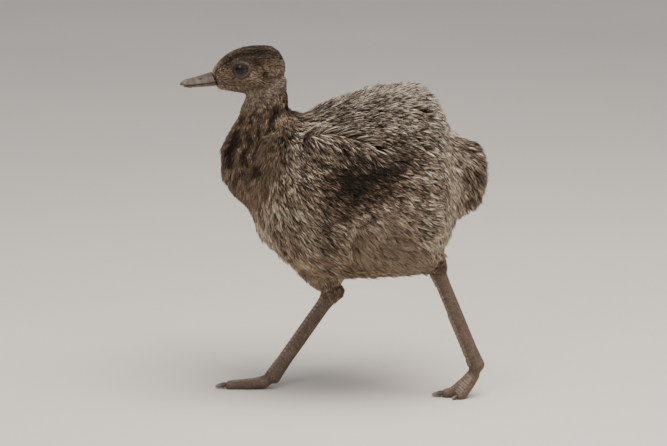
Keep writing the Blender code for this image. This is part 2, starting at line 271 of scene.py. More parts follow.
# The surface settles, most of all where the tail and neck join the trunk, and then sinks under the down.
# The bare legs only lose the solids' facets.
settled = spread(outer, edges, SETTLING)
settled[bare] = spread(outer, edges, LEG_SETTLING)[bare]
soft_share = shares @ np.array([SOFT_BODY.get(n, 0.0) for n in REGIONS])
settled += (spread(settled, edges, SOFT_SETTLING) - settled) * soft_share[:, None]
trunk_share, tail_share, neck_share = wide_shares[:, numbers_of("trunk", "tail", "neck")].T
joining = np.clip(JOIN_STRENGTH * trunk_share * (tail_share + neck_share), 0, 1)
settled += (spread(settled, edges, JOIN_SETTLING) - settled) * joining[:, None]
move_points(skin_mesh, settled)
normals = unit(spread(read_vectors(skin_mesh.vertices, "normal"), edges, 12))
places = settled - normals * depth[:, None]
for spot, radius, amount in CROP_FORMS:
    near = nearness((settled - spot) * (1, 0.5, 1), radius)
    places += normals * (near * amount)[:, None]

# The head's own directions, and the eyes' places in it.
HEAD_PITCH = math.radians(8)
ahead = np.array([-math.cos(HEAD_PITCH), 0, -math.sin(HEAD_PITCH)])
over = np.array([-math.sin(HEAD_PITCH), 0, math.cos(HEAD_PITCH)])
EYE_TURN = math.radians(15)  # how far each eye looks forward
SKIN_GAP, SOCKET_DEPTH = 0.0001, 0.0016  # of the skin under the eyeball's surface, round it and behind it
SOCKET_RIM, LID_SEAT = (-0.12, -0.02), (0.22, 0.62)  # where they end, in radians beyond the lids' edge
LID_CORNER, LID_TOP, LID_BOTTOM = (math.radians(a) for a in (44, 31, 36))  # the opening, from the eye's axis
eye_low, eye_high = (np.array(c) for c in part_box("eye_left"))
EYE_RADIUS = (eye_high[2] - eye_low[2]) / 2
eye_middle = {
    side: np.array([
        (eye_low[0] + eye_high[0]) / 2,
        -sign * (eye_low[1] + EYE_RADIUS),
        (eye_low[2] + eye_high[2]) / 2,
    ])
    for side, sign in SIDES.items()
}


def eye_directions(side):
    """The eye's axis, and the directions forward and up at right angles to it."""
    axis = np.array([0, SIDES[side], 0]) * math.cos(EYE_TURN) + ahead * math.sin(EYE_TURN)
    front = unit(ahead - axis * (ahead @ axis))
    return axis, front, over


def about_eye(at, side):
    """Each place's angle from the eye's axis, its direction round it and its distance from the middle."""
    axis, front, up = eye_directions(side)
    away = at - eye_middle[side]
    far = length(away)
    off_axis = np.arccos(np.clip(away @ axis / far, -1, 1))
    return off_axis, np.arctan2(away @ up, away @ front), far


def lid_edge(round_eye):
    """How far from the eye's axis the opening between the lids reaches in a direction."""
    height = np.where(np.sin(round_eye) > 0, LID_TOP, LID_BOTTOM)
    return height + (LID_CORNER - height) * np.abs(np.cos(round_eye)) ** 3


# Forms of the face: brow, the hollow before the eye, cheek, the ear's hole and its rim, and two hollows at
# the corner of the mouth.
EAR = (-0.0165, 0.0165, -0.0072)
FACE = (  # ahead of the eye, out from the head's middle, over the eye; radius; how far out; all in metres
    (-0.001, 0.0165, 0.0110, 0.0055, 0.0012),
    (0.0130, 0.0115, -0.0010, 0.0045, -0.0012),
    (-0.010, 0.0165, -0.0125, 0.0070, 0.0010),
    (*EAR, 0.0022, -0.0030),
    (EAR[0] - 0.0015, EAR[1], EAR[2] + 0.0030, 0.0022, 0.0008),
    (0.0165, 0.0100, -0.0095, 0.0028, -0.0009),
    (0.0100, 0.0125, -0.0110, 0.0028, -0.0009),
)


def on_face(forward, out, up, sign):
    """A place on the face, from the middle of the head between the eyes."""
    return eye_middle["left"] * (1, 0, 1) + ahead * forward + over * up + np.array([0, sign * out, 0])


for side, sign in SIDES.items():
    for *spot, radius, amount in FACE:
        near = nearness(places - on_face(*spot, sign), radius)
        places = places + normals * (near * amount)[:, None]
    # The skin closes round the eyeball, which bears the lids.
    off_axis, round_eye, far = about_eye(places, side)
    beyond = off_axis - lid_edge(round_eye)
    seat = EYE_RADIUS - SKIN_GAP - SOCKET_DEPTH * (1 - fade(beyond, *SOCKET_RIM))
    grip = (1 - fade(beyond, *LID_SEAT)) * (places[:, 1] * sign > 0)
    places = places + unit(places - eye_middle[side]) * ((seat - far) * grip)[:, None]
places[bare, 2] = np.maximum(places[bare, 2], 0.0)
move_points(skin_mesh, places)
normals = read_vectors(skin_mesh.vertices, "normal")

# The line on each cheek along which the mouth's bare corner runs back from the bill.
MOUTH_FRONT = np.array((0.0232, -0.0088))  # ahead of the eye and over it
MOUTH_BACK = np.array((0.0060, -0.0124))
MOUTH_STEPS = 9
skin_mesh.calc_loop_triangles()
triangles = np.empty(len(skin_mesh.loop_triangles) * 3, int)
skin_mesh.loop_triangles.foreach_get("vertices", triangles)
triangles = triangles.reshape(-1, 3)
skin_tree = BVHTree.FromPolygons([Vector(p) for p in places], triangles.tolist())
mouth = {}
for side, sign in SIDES.items():
    line = []
    for share in np.linspace(0, 1, MOUTH_STEPS):
        forward, up = MOUTH_FRONT + (MOUTH_BACK - MOUTH_FRONT) * share
        origin = on_face(forward, 0.0, up, sign)
        found = skin_tree.ray_cast(Vector(origin), Vector((0, sign, 0)), 0.03)[0]
        line.append(found or origin)
    mouth[side] = np.array(line)

# The way that the down lies: back over the body, down the rump, neck and drumsticks, and over the crown.
trunk_low, trunk_high = (np.array(c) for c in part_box("trunk"))
trunk_middle, trunk_radii = (trunk_low + trunk_high) / 2, (trunk_high - trunk_low) / 2
neck_low, neck_high = (np.array(c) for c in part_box("neck"))
neck_points = read_vectors(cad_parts["neck"].data.vertices, "co")
neck_levels = np.linspace(neck_low[2], neck_high[2], 11)[1:-1]
neck_line = []
for level in neck_levels:
    near = neck_points[np.abs(neck_points[:, 2] - level) < 0.008, 0]
    neck_line.append((near.min() + min(near.max(), neck_low[0] + 0.050)) / 2)
leaning = fade((places[:, 0] - trunk_low[0]) / (trunk_high[0] - trunk_low[0]), 0.0, 0.4)
slope = np.interp(places[:, 2], neck_levels, np.gradient(neck_line, neck_levels))
ones = np.ones(len(places))
over_eye = (places - eye_middle["left"] * (1, 0, 1)) @ over
throat = (1 - fade(over_eye, -0.020, -0.012)) * fade(normals @ ahead, -0.1, 0.5)
head_lie = (0, 0, -0.35) - ahead * (1 - throat)[:, None] - throat[:, None] * (0, 0, 0.8)
forehead = fade(over_eye, -0.009, -0.003) * fade(normals @ ahead, 0.1, 0.8)
head_lie += forehead[:, None] * over
hanging = fade(normals[:, 0], 0.30, 0.95)  # the rump's down hangs, where the flank's lies straight back
lies = {
    "trunk": np.stack([
        (0.35 + 0.65 * leaning) * (1 - 0.75 * hanging), 0.10 * np.sign(places[:, 1]),
        -1.0 + 0.60 * leaning - 0.50 * hanging,
    ], 1),
    "neck": np.stack([0.15 - slope, 0 * ones, -ones], 1),
    "head": head_lie,
    "eye": head_lie,
    "wing": (0.80, 0, -0.62),
    "tail": (0.70, 0, -1.0),
}
lie = np.zeros_like(places) - (0, 0, 1)
for name, way in lies.items():
    here = region == REGIONS.index(name)
    lie[here] = np.broadcast_to(way, places.shape)[here]
for side in SIDES:
    here = nearest_solid == f"thigh_{side}"
    lie[here] = unit(hock[side] - places[here] + (0, 0, -0.004))
for rounds in (40, 20, 10):
    lie = along_surface(spread(along_surface(lie, normals), edges, rounds), normals)

# Markings, on skin and down alike, with a painted shadow under the wing. A two-week chick is mottled like dry
# grass. Its back is black, straw and cream, its belly is soft buff, and its golden neck has broken dark lines
# that run up into a dark crown.
NECK_LINES = (  # angle from the nape in radians, half width and strength
    (0.0, 0.22, 1.0),
    (0.76, 0.15, 0.80),
    (1.34, 0.13, 0.75),
    (1.92, 0.14, 0.80),
    (2.55, 0.22, 0.95),
)
NECK_DASH = 0.030  # length of a dash and its gap, in metres
WING_SHADOW_SPOTS = (  # painted shadow under the wing's tip: back along the trunk and up it, radii and strength
    (0.44, 0.61, 0.13, 0.085, 1.0),
    (0.59, 0.66, 0.11, 0.075, 0.95),
    (0.42, 0.49, 0.11, 0.08, 0.45),
    (0.52, 0.24, 0.15, 0.15, 0.46),
)
CROWN_STRIPE = 0.0088  # from one dark stripe of the crown to the next
EAR_SHADE = 0.0028  # how far the dark of the ear's hole reaches


def mottle(at, size, seed):
    """A soft random pattern with blotches of this size."""
    shift = Vector((seed * 3.7, seed * 1.3, -seed * 2.1))
    return np.array([noise.noise(Vector(p) / size + shift) for p in at])


def markings_and_painted_shade(at, nearby):
    """How pale (0 black-brown, 1 cream), warm (0 grey, 1 cinnamon) and uneven the coat is at each place, with
    painted shade.
    """
    backward, _, level = ((at - trunk_low) / (trunk_high - trunk_low)).T
    blotch = mottle(at, 0.013, 1)
    broad = mottle(at, 0.035, 2)
    wander = mottle(at, 0.018, 3)

    back = fade(level, 0.60, 0.92)
    hump = fade(level, 0.76, 0.97) * fade(backward, 0.40, 0.62)
    belly = 1 - fade(level, 0.08, 0.42)
    breast = 1 - fade(backward, 0.0, 0.24)
    rump = fade(backward, 0.70, 0.88) * (1 - 0.6 * fade(backward, 0.90, 0.99))
    # Painted shadow under the wing: darker, warmer down low on the flank.
    wing_shadow = np.clip(sum(
        strength * np.exp(-(((backward - x) / long) ** 2 + ((level - z) / high) ** 2))
        for x, z, long, high, strength in WING_SHADOW_SPOTS
    ), 0, 1)
    lower = 1 - fade(level, 0.35, 0.60)
    body_pale = 0.485 - 0.02 * back + 0.15 * hump + 0.05 * belly + 0.08 * lower + 0.21 * breast + 0.20 * rump
    body_pale += 0.14 * blotch + 0.10 * broad
    body = (
        body_pale - 0.345 * wing_shadow,
        0.36 - 0.26 * back + 0.22 * belly + 0.20 * breast + 0.40 * wing_shadow + 0.12 * broad,
        0.32 - 0.16 * belly - 0.16 * breast - 0.12 * wing_shadow,
    )

    round_neck = np.arctan2(np.abs(at[:, 1]), at[:, 0] - np.interp(at[:, 2], neck_levels, neck_line))
    lines = np.zeros(len(at))
    for k, (middle, half, strength) in enumerate(NECK_LINES):
        dash = 0.5 + 0.5 * np.sin(2 * np.pi * at[:, 2] / NECK_DASH + 1.9 * k + 3.5 * wander)
        whole = np.maximum(fade(dash, 0.06, 0.25), k == 0)
        near = 1 - fade(np.abs(round_neck - middle + 0.12 * wander), half * 0.5, half * 1.3)
        lines = np.maximum(lines, near * whole * strength)
    lines *= fade(at[:, 2], neck_low[2] + 0.012, neck_low[2] + 0.050)
    throat = fade(round_neck, 2.15, 2.75)
    crop = 1 - fade(at[:, 2], neck_low[2] + 0.018, neck_low[2] + 0.052)
    neck_pale = (0.475 + 0.08 * crop + 0.10 * blotch) * (1 - lines) + 0.11 * lines
    neck = (neck_pale, 0.60 - 0.15 * throat, 0.12)

    from_eye = at - eye_middle["left"] * (1, 0, 1)
    high = from_eye @ over
    front = from_eye @ ahead
    crown = fade(high, -0.002, 0.009)
    chin = 1 - fade(high, -0.016, -0.010)
    stripe = 0.5 + 0.5 * np.cos(2 * np.pi * np.abs(at[:, 1]) / CROWN_STRIPE + 2.0 * wander)
    ears = sum(nearness(at - on_face(*EAR, sign), EAR_SHADE) for sign in SIDES.values())
    behind_eye = np.exp(-(((high + 0.001) / 0.005) ** 2) - ((front + 0.016) / 0.010) ** 2)
    head = (
        0.55 + 0.12 * blotch - 0.43 * crown * (0.65 + 0.35 * stripe) - 0.20 * behind_eye + 0.05 * chin
        - 0.45 * ears,
        0.66 - 0.30 * chin - 0.1 * crown,
        0.10,
    )
    thigh = (0.59 + 0.12 * blotch, 0.50, 0.18)
    tail = (0.48 + 0.16 * blotch + 0.08 * broad, 0.34, 0.30)
    # The wing's lower rear carries the same painted shadow.
    wing = (0.50 + 0.16 * blotch - 0.32 * wing_shadow, 0.28, 0.34)
    leg = (0.52, 0.50, 0.10)
    patterns = {
        "trunk": body, "neck": neck, "head": head, "eye": head, "thigh": thigh, "tail": tail, "wing": wing,
        "shank": leg, "toe": leg,
    }
    mixed = sum(
        np.stack([np.broadcast_to(v, len(at)) for v in patterns[name]], 1) * nearby[:, [k]]
        for k, name in enumerate(REGIONS)
    )
    return np.clip(mixed, 0, 1).T


skin_pale, skin_warm, _ = markings_and_painted_shade(places, shares)
give_points(skin_mesh, "pale", spread(skin_pale, edges, 1))
give_points(skin_mesh, "warm", skin_warm)
give_points(skin_mesh, "bare", spread(bare, edges, 2))


def node_group(name, inputs, outputs):
    """A new shader node group. Its sockets are given as a name with a kind, or with a kind and a value."""
    group = bpy.data.node_groups.new(name, "ShaderNodeTree")
    for in_out, sockets in (("INPUT", inputs), ("OUTPUT", outputs)):
        for label, (kind, *value) in sockets.items():
            socket = group.interface.new_socket(label, in_out=in_out, socket_type=f"NodeSocket{kind}")
            if value:
                socket.default_value = value[0]
    return group, group.nodes.new("NodeGroupInput").outputs, group.nodes.new("NodeGroupOutput").inputs


def connect(tree, socket, value):
    if isinstance(value, bpy.types.NodeSocket):
        tree.links.new(value, socket)
    else:
        socket.default_value = value


def add_node(tree, kind, settings=None, inputs=None):
    """Adds a shader node with these settings. Its inputs, by name or number, get values or links."""
    node = tree.nodes.new(f"ShaderNode{kind}")
    for name, value in (settings or {}).items():
        setattr(node, name, value)
    for name, value in (inputs or {}).items():
        connect(tree, node.inputs[name], value)
    return node


def ramp(tree, factor, *stops):
    """A colour ramp with these stops, each a place and a colour or a grey."""
    node = add_node(tree, "ValToRGB", inputs={"Fac": factor})
    elements = node.color_ramp.elements
    while len(elements) < len(stops):
        elements.new(0.5)
    for element, (place, colour) in zip(elements, stops):
        element.position = place
        element.color = (*np.broadcast_to(colour, 3), 1)
    return node.outputs["Color"]


def mix(tree, factor, one, two, blend="MIX"):
    """Mixes two colours."""
    settings = {"data_type": "RGBA", "blend_type": blend}
    return add_node(tree, "Mix", settings, {0: factor, 6: one, 7: two}).outputs[2]


def sums(tree, operation, one, two):
    return add_node(tree, "Math", {"operation": operation}, {0: one, 1: two}).outputs[0]


def noise_at(tree, scale, detail=3.0, stretch=(1.0, 1.0, 1.0)):
    """Noise in the piece's own space."""
    where = add_node(tree, "TexCoord").outputs["Object"]
    stretched = add_node(tree, "Mapping", inputs={"Vector": where, "Scale": stretch}).outputs["Vector"]
    inputs = {"Vector": stretched, "Scale": scale, "Detail": detail}
    return add_node(tree, "TexNoise", inputs=inputs).outputs["Fac"]


def attribute(tree, name):
    return add_node(tree, "Attribute", {"attribute_name": name}).outputs["Fac"]


def use_group(tree, group, **inputs):
    """Places a node group, and gives its inputs values or links."""
    return add_node(tree, "Group", {"node_tree": group}, inputs).outputs


def finish_surface(tree, shader, colour, roughness, height, strength, distance):
    """Gives the shader a colour, a roughness and small bumps, which all change over the surface."""
    tree.links.new(colour, shader["Base Color"])
    tree.links.new(roughness, shader["Roughness"])
    bump = add_node(tree, "Bump", inputs={"Strength": strength, "Distance": distance, "Height": height})
    tree.links.new(bump.outputs["Normal"], shader["Normal"])


def new_material(name, **constants):
    """A material with these constants, its node tree and its shader."""
    material = bpy.data.materials.new(name)
    material.use_nodes = True
    shader = material.node_tree.nodes["Principled BSDF"]
    for label, value in constants.items():
        shader.inputs[label.replace("_", " ")].default_value = value
    return material, material.node_tree, shader.inputs


# Pigment, from black-brown through straw to cream, greyer or warmer, and a painted shade that darkens each
# lock towards its root.
pigment, given, result = node_group(
    "pigment", {"Pale": ("Float",), "Warm": ("Float",), "Along": ("Float",)}, {"Color": ("Color",)}
)
grey_straw = ramp(
    pigment, given["Pale"],
    (0.0, (0.012, 0.0088, 0.006)),
    (0.25, (0.052, 0.039, 0.028)),
    (0.50, (0.170, 0.134, 0.102)),
    (0.74, (0.380, 0.320, 0.252)),
    (1.0, (0.680, 0.615, 0.515)),
)
cinnamon = ramp(
    pigment, given["Pale"],
    (0.0, (0.016, 0.009, 0.005)),
    (0.25, (0.070, 0.041, 0.021)),
    (0.50, (0.210, 0.133, 0.076)),
    (0.74, (0.430, 0.305, 0.190)),
    (1.0, (0.690, 0.570, 0.410)),
)
# Painted shade deep in the coat: each lock is darker towards its root.
root_shade = ramp(
    pigment, given["Along"], (0.0, (0.42, 0.38, 0.35)), (0.45, (0.80, 0.78, 0.76)), (1.0, 1.0)
)
hue = mix(pigment, given["Warm"], grey_straw, cinnamon)
pigment.links.new(mix(pigment, 1.0, hue, root_shade, "MULTIPLY"), result["Color"])

# Bare skin of small round scales, with darker creases between them and worn, dusty patches.
scaled, given, result = node_group(
    "round scales",
    {"Size": ("Float", 900.0), "Creases": ("Color",), "Scales": ("Color",)},
    {"Color": ("Color",), "Height": ("Float",), "Roughness": ("Float",)},
)
where = add_node(scaled, "TexCoord").outputs["Object"]
cells = add_node(
    scaled, "TexVoronoi", {"feature": "DISTANCE_TO_EDGE"}, {"Vector": where, "Scale": given["Size"]}
)
dome = ramp(scaled, cells.outputs["Distance"], (0.02, 0.0), (0.18, 0.8), (0.5, 1.0))
worn = ramp(scaled, noise_at(scaled, 120.0), (0.35, (0.74, 0.72, 0.70)), (0.68, (1.12, 1.09, 1.06)))
scale_colour = mix(scaled, dome, given["Creases"], given["Scales"])
scaled.links.new(mix(scaled, 1.0, scale_colour, worn, "MULTIPLY"), result["Color"])
scaled.links.new(dome, result["Height"])
scaled.links.new(ramp(scaled, noise_at(scaled, 300.0), (0.3, 0.48), (0.7, 0.70)), result["Roughness"])


def scaled_material(name, size, creases, scales, strength, distance):
    """Bare skin with scales of this size and bumps this strong and high."""
    material, tree, shader = new_material(name, Specular_IOR_Level=0.4)
    hide = use_group(tree, scaled, Size=size, Creases=(*creases, 1), Scales=(*scales, 1))
    finish_surface(tree, shader, hide["Color"], hide["Roughness"], hide["Height"], strength, distance)
    return material


skin_material, tree, shader = new_material("skin", Specular_IOR_Level=0.35)
# The skin under the down takes the painted shade of the locks' roots.
downy = use_group(tree, pigment, Pale=attribute(tree, "pale"), Warm=attribute(tree, "warm"), Along=0.15)
legs = use_group(tree, scaled, Size=760.0, Creases=(0.062, 0.042, 0.029, 1), Scales=(0.168, 0.118, 0.083, 1))
is_bare = attribute(tree, "bare")
skin_colour = mix(tree, is_bare, downy["Color"], legs["Color"])
relief = sums(tree, "MULTIPLY", legs["Height"], is_bare)
finish_surface(tree, shader, skin_colour, legs["Roughness"], relief, 0.6, 0.0003)
skin_mesh.materials.append(skin_material)
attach(skin, "root")
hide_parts(*(n for n in flesh_names if not n.startswith("eye")))

# ------------------------------------------------------------------------------
# Down
# Every tuft is one closed, flattened lock, broad and straw-like on the body and fine on the face. It grows
# from the skin, rises and then lies along the body, and leans together with its neighbours in clumps.

COAT = {  # locks on a square mm; how high and how far along they reach, in depths; width and clump in metres
    "trunk": (1.00, 0.95, 1.65, 0.00112, 0.0060),
    "neck": (1.38, 1.02, 1.75, 0.00075, 0.0042),
    "head": (2.30, 0.90, 1.70, 0.00046, 0.0028),
    "tail": (0.95, 0.82, 1.85, 0.00120, 0.0070),
    "wing": (0.98, 0.92, 1.80, 0.00115, 0.0058),
    "thigh": (1.10, 0.95, 1.80, 0.00080, 0.0048),
    "shank": (0.90, 0.95, 1.80, 0.00080, 0.0050),
    "toe": (0.90, 0.95, 1.80, 0.00080, 0.0050),
    "eye": (2.10, 0.90, 1.70, 0.00046, 0.0028),
}
BARE_LID = 0.20  # how far the bare skin round the eye reaches beyond the opening, in radians
LID_REACH = 0.004  # and how far from the eyeball
EAR_HOLE = 0.0017
BARE_MOUTH = 0.0017
SHORTEST_DOWN, THIN_DOWN = 0.0004, 0.0015  # depths under which the down ends, and grows sparse
LOCK_SIZES = {"tall": (0.80, 0.30), "long": (0.82, 0.36), "wide": (0.7, 0.6)}  # least, and how much more
LOCK_TURN, LOCK_ROLL = 0.20, 0.45  # how far locks turn from the way they lie, and about it
STRAY_SHARE, STRAY_HEIGHT = 0.04, 1.16  # locks that stand out of the coat
ROOT_GAP = 0.0013  # between the roots of neighbouring locks
CLUMP_LEAN = 0.38
ELBOW = (0.72, 0.22)  # where a lock bends over, as shares of its height and length
DARK_LOCKS, PALE_LOCKS = 0.33, 0.78  # the shares that end the dark locks and begin the pale ones
DARKER, BETWEEN, PALER = -1.0, 0.12, 0.85
CLUMP_TONE, LOCK_TONE, LOCK_WARMTH = 0.07, 0.05, 0.14  # how much else each differs from the next
PATCH = 0.003  # size of a lock's patch on its bake map

rng = np.random.default_rng(27)
sides_of = places[triangles[:, 1:]] - places[triangles[:, :1]]
areas = length(np.cross(sides_of[:, 0], sides_of[:, 1])) / 2


def lock_shape(rows, widths, thick):
    """A lock's points (across, out, along) and triangles, from a three-sided root to a pointed tip."""
    bm = bmesh.new()
    bmesh.ops.create_circle(bm, cap_ends=True, segments=3, radius=0.5)
    ring = list(bm.edges)
    for point, (x, y) in zip(list(bm.verts), ((-0.5, 0.0), (0.5, 0.0), (0.0, thick))):
        point.co = (x * widths[0], y * widths[0], rows[0])
    for row, wide, before in zip(rows[1:], widths[1:], widths):
        made = bmesh.ops.extrude_edge_only(bm, edges=ring)["geom"]
        points = [g for g in made if isinstance(g, bmesh.types.BMVert)]
        ring = [g for g in made if isinstance(g, bmesh.types.BMEdge)]
        if wide:
            for point in points:
                point.co = (point.co.x * wide / before, point.co.y * wide / before, row)
        else:
            bmesh.ops.pointmerge(bm, verts=points, merge_co=(0, 0, row))
    bmesh.ops.triangulate(bm, faces=bm.faces)
    bmesh.ops.recalc_face_normals(bm, faces=bm.faces)
    bm.verts.index_update()
    shape = np.array([v.co for v in bm.verts])
    faces = np.array([[v.index for v in f.verts] for f in bm.faces])
    bm.free()
    return shape, faces


LONG_LOCK = lock_shape((0.0, 0.42, 0.84, 1.0), (0.60, 0.85, 0.95, 0.0), 0.35)
SHORT_LOCK = lock_shape((0.0, 0.55, 1.0), (0.70, 1.0, 0.0), 0.40)


def roots_in(*names):
    """Places on the skin of these regions for locks to grow from, with the coat's shape and colours there."""
    chosen = np.isin(region[triangles[:, 0]], numbers_of(*names))
    coat = np.array([COAT[n] for n in REGIONS])
    expected = areas[chosen] * 1e6 * (shares[triangles[chosen]].mean(1) @ coat[:, 0])
    picked = np.repeat(triangles[chosen], (expected + rng.random(len(expected))).astype(int), axis=0)
    weights = rng.dirichlet((1, 1, 1), len(picked))[:, :, None]

    def here(values):
        return (values[picked].reshape(len(picked), 3, -1) * weights).sum(1)

    at, nearby, deep = here(places), here(shares), here(coat_depth)[:, 0]
    keep = (deep > SHORTEST_DOWN) & (rng.random(len(at)) < deep / THIN_DOWN)
    for side, sign in SIDES.items():
        off_axis, round_eye, far = about_eye(at, side)
        keep &= (off_axis - lid_edge(round_eye) > BARE_LID) | (far > EYE_RADIUS + LID_REACH)
        keep &= length(at - on_face(*EAR, sign)) > EAR_HOLE
        keep &= length(at[:, None] - mouth[side]).min(1) > BARE_MOUTH
    up = unit(here(normals))
    _, high, long, wide, clump = (nearby @ coat).T
    pale, warm, uneven = markings_and_painted_shade(at, nearby)
    roots = {
        "at": at, "up": up, "lie": along_surface(here(lie), up), "tall": deep * high, "long": deep * long,
        "wide": wide, "clump": clump, "pale": pale, "warm": warm, "uneven": uneven,
    }
    return only(roots, keep)


def only(roots, mask):
    return {name: values[mask] for name, values in roots.items()}


def side_map(at, middle, radii, axis):
    """Unwraps a part of the skin that faces one way, like one side of a cube that holds it."""
    way = (at - middle) / radii
    one, two = (i for i in range(3) if i != axis)
    facing = np.maximum(np.abs(way[:, axis]), 0.15)
    return np.stack([np.arctan2(way[:, one], facing), np.arctan2(way[:, two], facing)], 1)


def round_map(at, middle, radii, axis):
    """Unwraps a part that has skin all round, by the angle about its axis and the angle from it."""
    way = unit((at - middle) / radii)
    one, two = (i for i in range(3) if i != axis)
    return np.stack([np.arctan2(way[:, two], way[:, one]), np.arccos(np.clip(way[:, axis], -1, 1))], 1)


down_material, tree, shader = new_material(
    "down", Roughness=0.75, Specular_IOR_Level=0.16, Sheen_Weight=0.05, Sheen_Roughness=0.5
)
strands = use_group(
    tree, pigment, Pale=attribute(tree, "pale"), Warm=attribute(tree, "warm"), Along=attribute(tree, "along")
)
tree.links.new(strands["Color"], shader["Base Color"])


def lay_down(name, roots, unwrapped, shape, turn=LOCK_TURN):
    """Makes one piece of down, with a lock of this shape at each root, and lays out its bake map."""
    points, faces = shape
    at, up, way = roots["at"], roots["up"], roots["lie"]
    count = len(at)

    def varied(size):
        least, more = LOCK_SIZES[size]
        return (roots[size] * (least + more * rng.random(count)))[:, None]

    across = np.cross(up, way)
    way = unit(way + across * rng.normal(0, turn, (count, 1)))
    tall = varied("tall")
    tall = np.where(rng.random((count, 1)) < STRAY_SHARE, tall * STRAY_HEIGHT, tall)
    long = varied("long")
    tip = at + up * tall + way * long

    # Locks of a clump lean to its middle.
    seeds = np.flatnonzero(rng.random(count) < (ROOT_GAP / roots["clump"]) ** 2)
    near_seed = KDTree(len(seeds))
    for i, seed in enumerate(seeds):
        near_seed.insert(tip[seed], i)
    near_seed.balance()
    owner = np.array([near_seed.find(t)[1] for t in tip]) if len(seeds) else np.zeros(count, int)
    middles = tip[seeds] if len(seeds) else tip[:1]
    pull = middles[owner] - tip
    pull *= np.minimum(1, long / np.maximum(length(pull), 1e-9)[:, None])
    pull -= up * (pull * up).sum(1, keepdims=True) * 0.7
    tip = tip + pull * (CLUMP_LEAN if len(seeds) else 0)
    elbow = at + up * tall * ELBOW[0] + way * long * ELBOW[1]

    t = points[:, 2][None, :, None]
    line = at[:, None] * (1 - t) ** 2 + elbow[:, None] * 2 * t * (1 - t) + tip[:, None] * t**2
    course = unit((elbow - at)[:, None] * (1 - t) + (tip - elbow)[:, None] * t)
    roll = rng.normal(0, LOCK_ROLL, (count, 1))
    flat = (across * np.cos(roll) + up * np.sin(roll))[:, None]
    flat = unit(flat - course * (flat * course).sum(2, keepdims=True))
    wide = varied("wide")[:, None]
    across_lock, out_of_lock = (points[:, i][None, :, None] * wide for i in (0, 1))
    co = line + flat * across_lock + np.cross(course, flat) * out_of_lock

    kind = rng.random(count) + (roots["pale"] - 0.45) * 0.75
    tone = np.where(kind < DARK_LOCKS, DARKER, np.where(kind > PALE_LOCKS, PALER, BETWEEN))
    of_clump = rng.normal(0, CLUMP_TONE, max(len(seeds), 1))[owner]
    pale = roots["pale"] + tone * roots["uneven"] + of_clump + rng.normal(0, LOCK_TONE, count)
    pale = np.clip(pale, 0.02, 0.98)
    warm = np.clip(roots["warm"] + rng.normal(0, LOCK_WARMTH, count), 0, 1)

    corner = (faces[None] + len(points) * np.arange(count)[:, None, None]).ravel()
    mesh = bpy.data.meshes.new(name)
    mesh.vertices.add(co.size // 3)
    numbers(mesh.vertices, co, "co")
    mesh.loops.add(corner.size)
    mesh.loops.foreach_set("vertex_index", corner)
    mesh.polygons.add(corner.size // 3)
    mesh.polygons.foreach_set("loop_start", np.arange(0, corner.size, 3))
    mesh.update(calc_edges=True)
    mesh.shade_smooth()
    give_points(mesh, "pale", np.repeat(pale, len(points)))
    give_points(mesh, "warm", np.repeat(warm, len(points)))
    give_points(mesh, "along", np.tile(points[:, 2], count))
    low, high = unwrapped.min(0), unwrapped.max(0)
    centre = 0.01 + 0.98 * (unwrapped - low) / (high - low)
    patch = np.stack([points[:, 0], points[:, 2] - 0.5], 1) * PATCH
    uv = (centre[:, None] + patch[None]).reshape(-1, 2)[corner]
    numbers(mesh.uv_layers.new(name="OFBake").uv, uv, "vector")
    mesh.materials.append(down_material)
    piece = placed(name, mesh)
    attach(piece, "root")


body_roots = roots_in("trunk")
way = (body_roots["at"] - trunk_middle) / trunk_radii
longest = np.abs(way).argmax(1)
facing = longest * 2 + (way[np.arange(len(way)), longest] > 0)
for k, name in enumerate(("breast", "rump", "left_flank", "right_flank", "belly", "back")):
    part = only(body_roots, facing == k)
    lay_down(f"down_{name}", part, side_map(part["at"], trunk_middle, trunk_radii, k // 2), LONG_LOCK)

for name, regions, mapping, axis, slot, shape in (
    ("tail", ("tail",), side_map, 0, "down", LONG_LOCK),
    ("neck", ("neck",), round_map, 2, "neck_down", SHORT_LOCK),
    ("head", ("head", "eye"), round_map, 0, "neck_down", SHORT_LOCK),
    ("wing_left", ("wing",), side_map, 1, "down", LONG_LOCK),
    ("wing_right", ("wing",), side_map, 1, "down", LONG_LOCK),
    ("thigh_left", ("thigh", "shank"), round_map, 2, "down", SHORT_LOCK),
    ("thigh_right", ("thigh", "shank"), round_map, 2, "down", SHORT_LOCK),
):
    roots = roots_in(*regions)
    if "_" in name:
        roots = only(roots, roots["at"][:, 1] * SIDES[name.split("_")[1]] > 0)
    low, high = roots["at"].min(0), roots["at"].max(0)
    unwrapped = mapping(roots["at"], (low + high) / 2, (high - low) / 2, axis)
    lay_down(f"down_{name}", roots, unwrapped, shape)

# ------------------------------------------------------------------------------
# Eyes
# Large, wet and dark: a black pupil in a dark brown iris, under a clear cornea. Each ball fills its socket
# and looks a little forward.

PUPIL_EDGE, IRIS_EDGE = 0.33, 0.64  # from the eye's axis, as shares of the ball's radius
CORNEA_BULGE = 0.0004
SOCKET_FLOOR = 0.0047  # from the head's middle to the ball's flat back

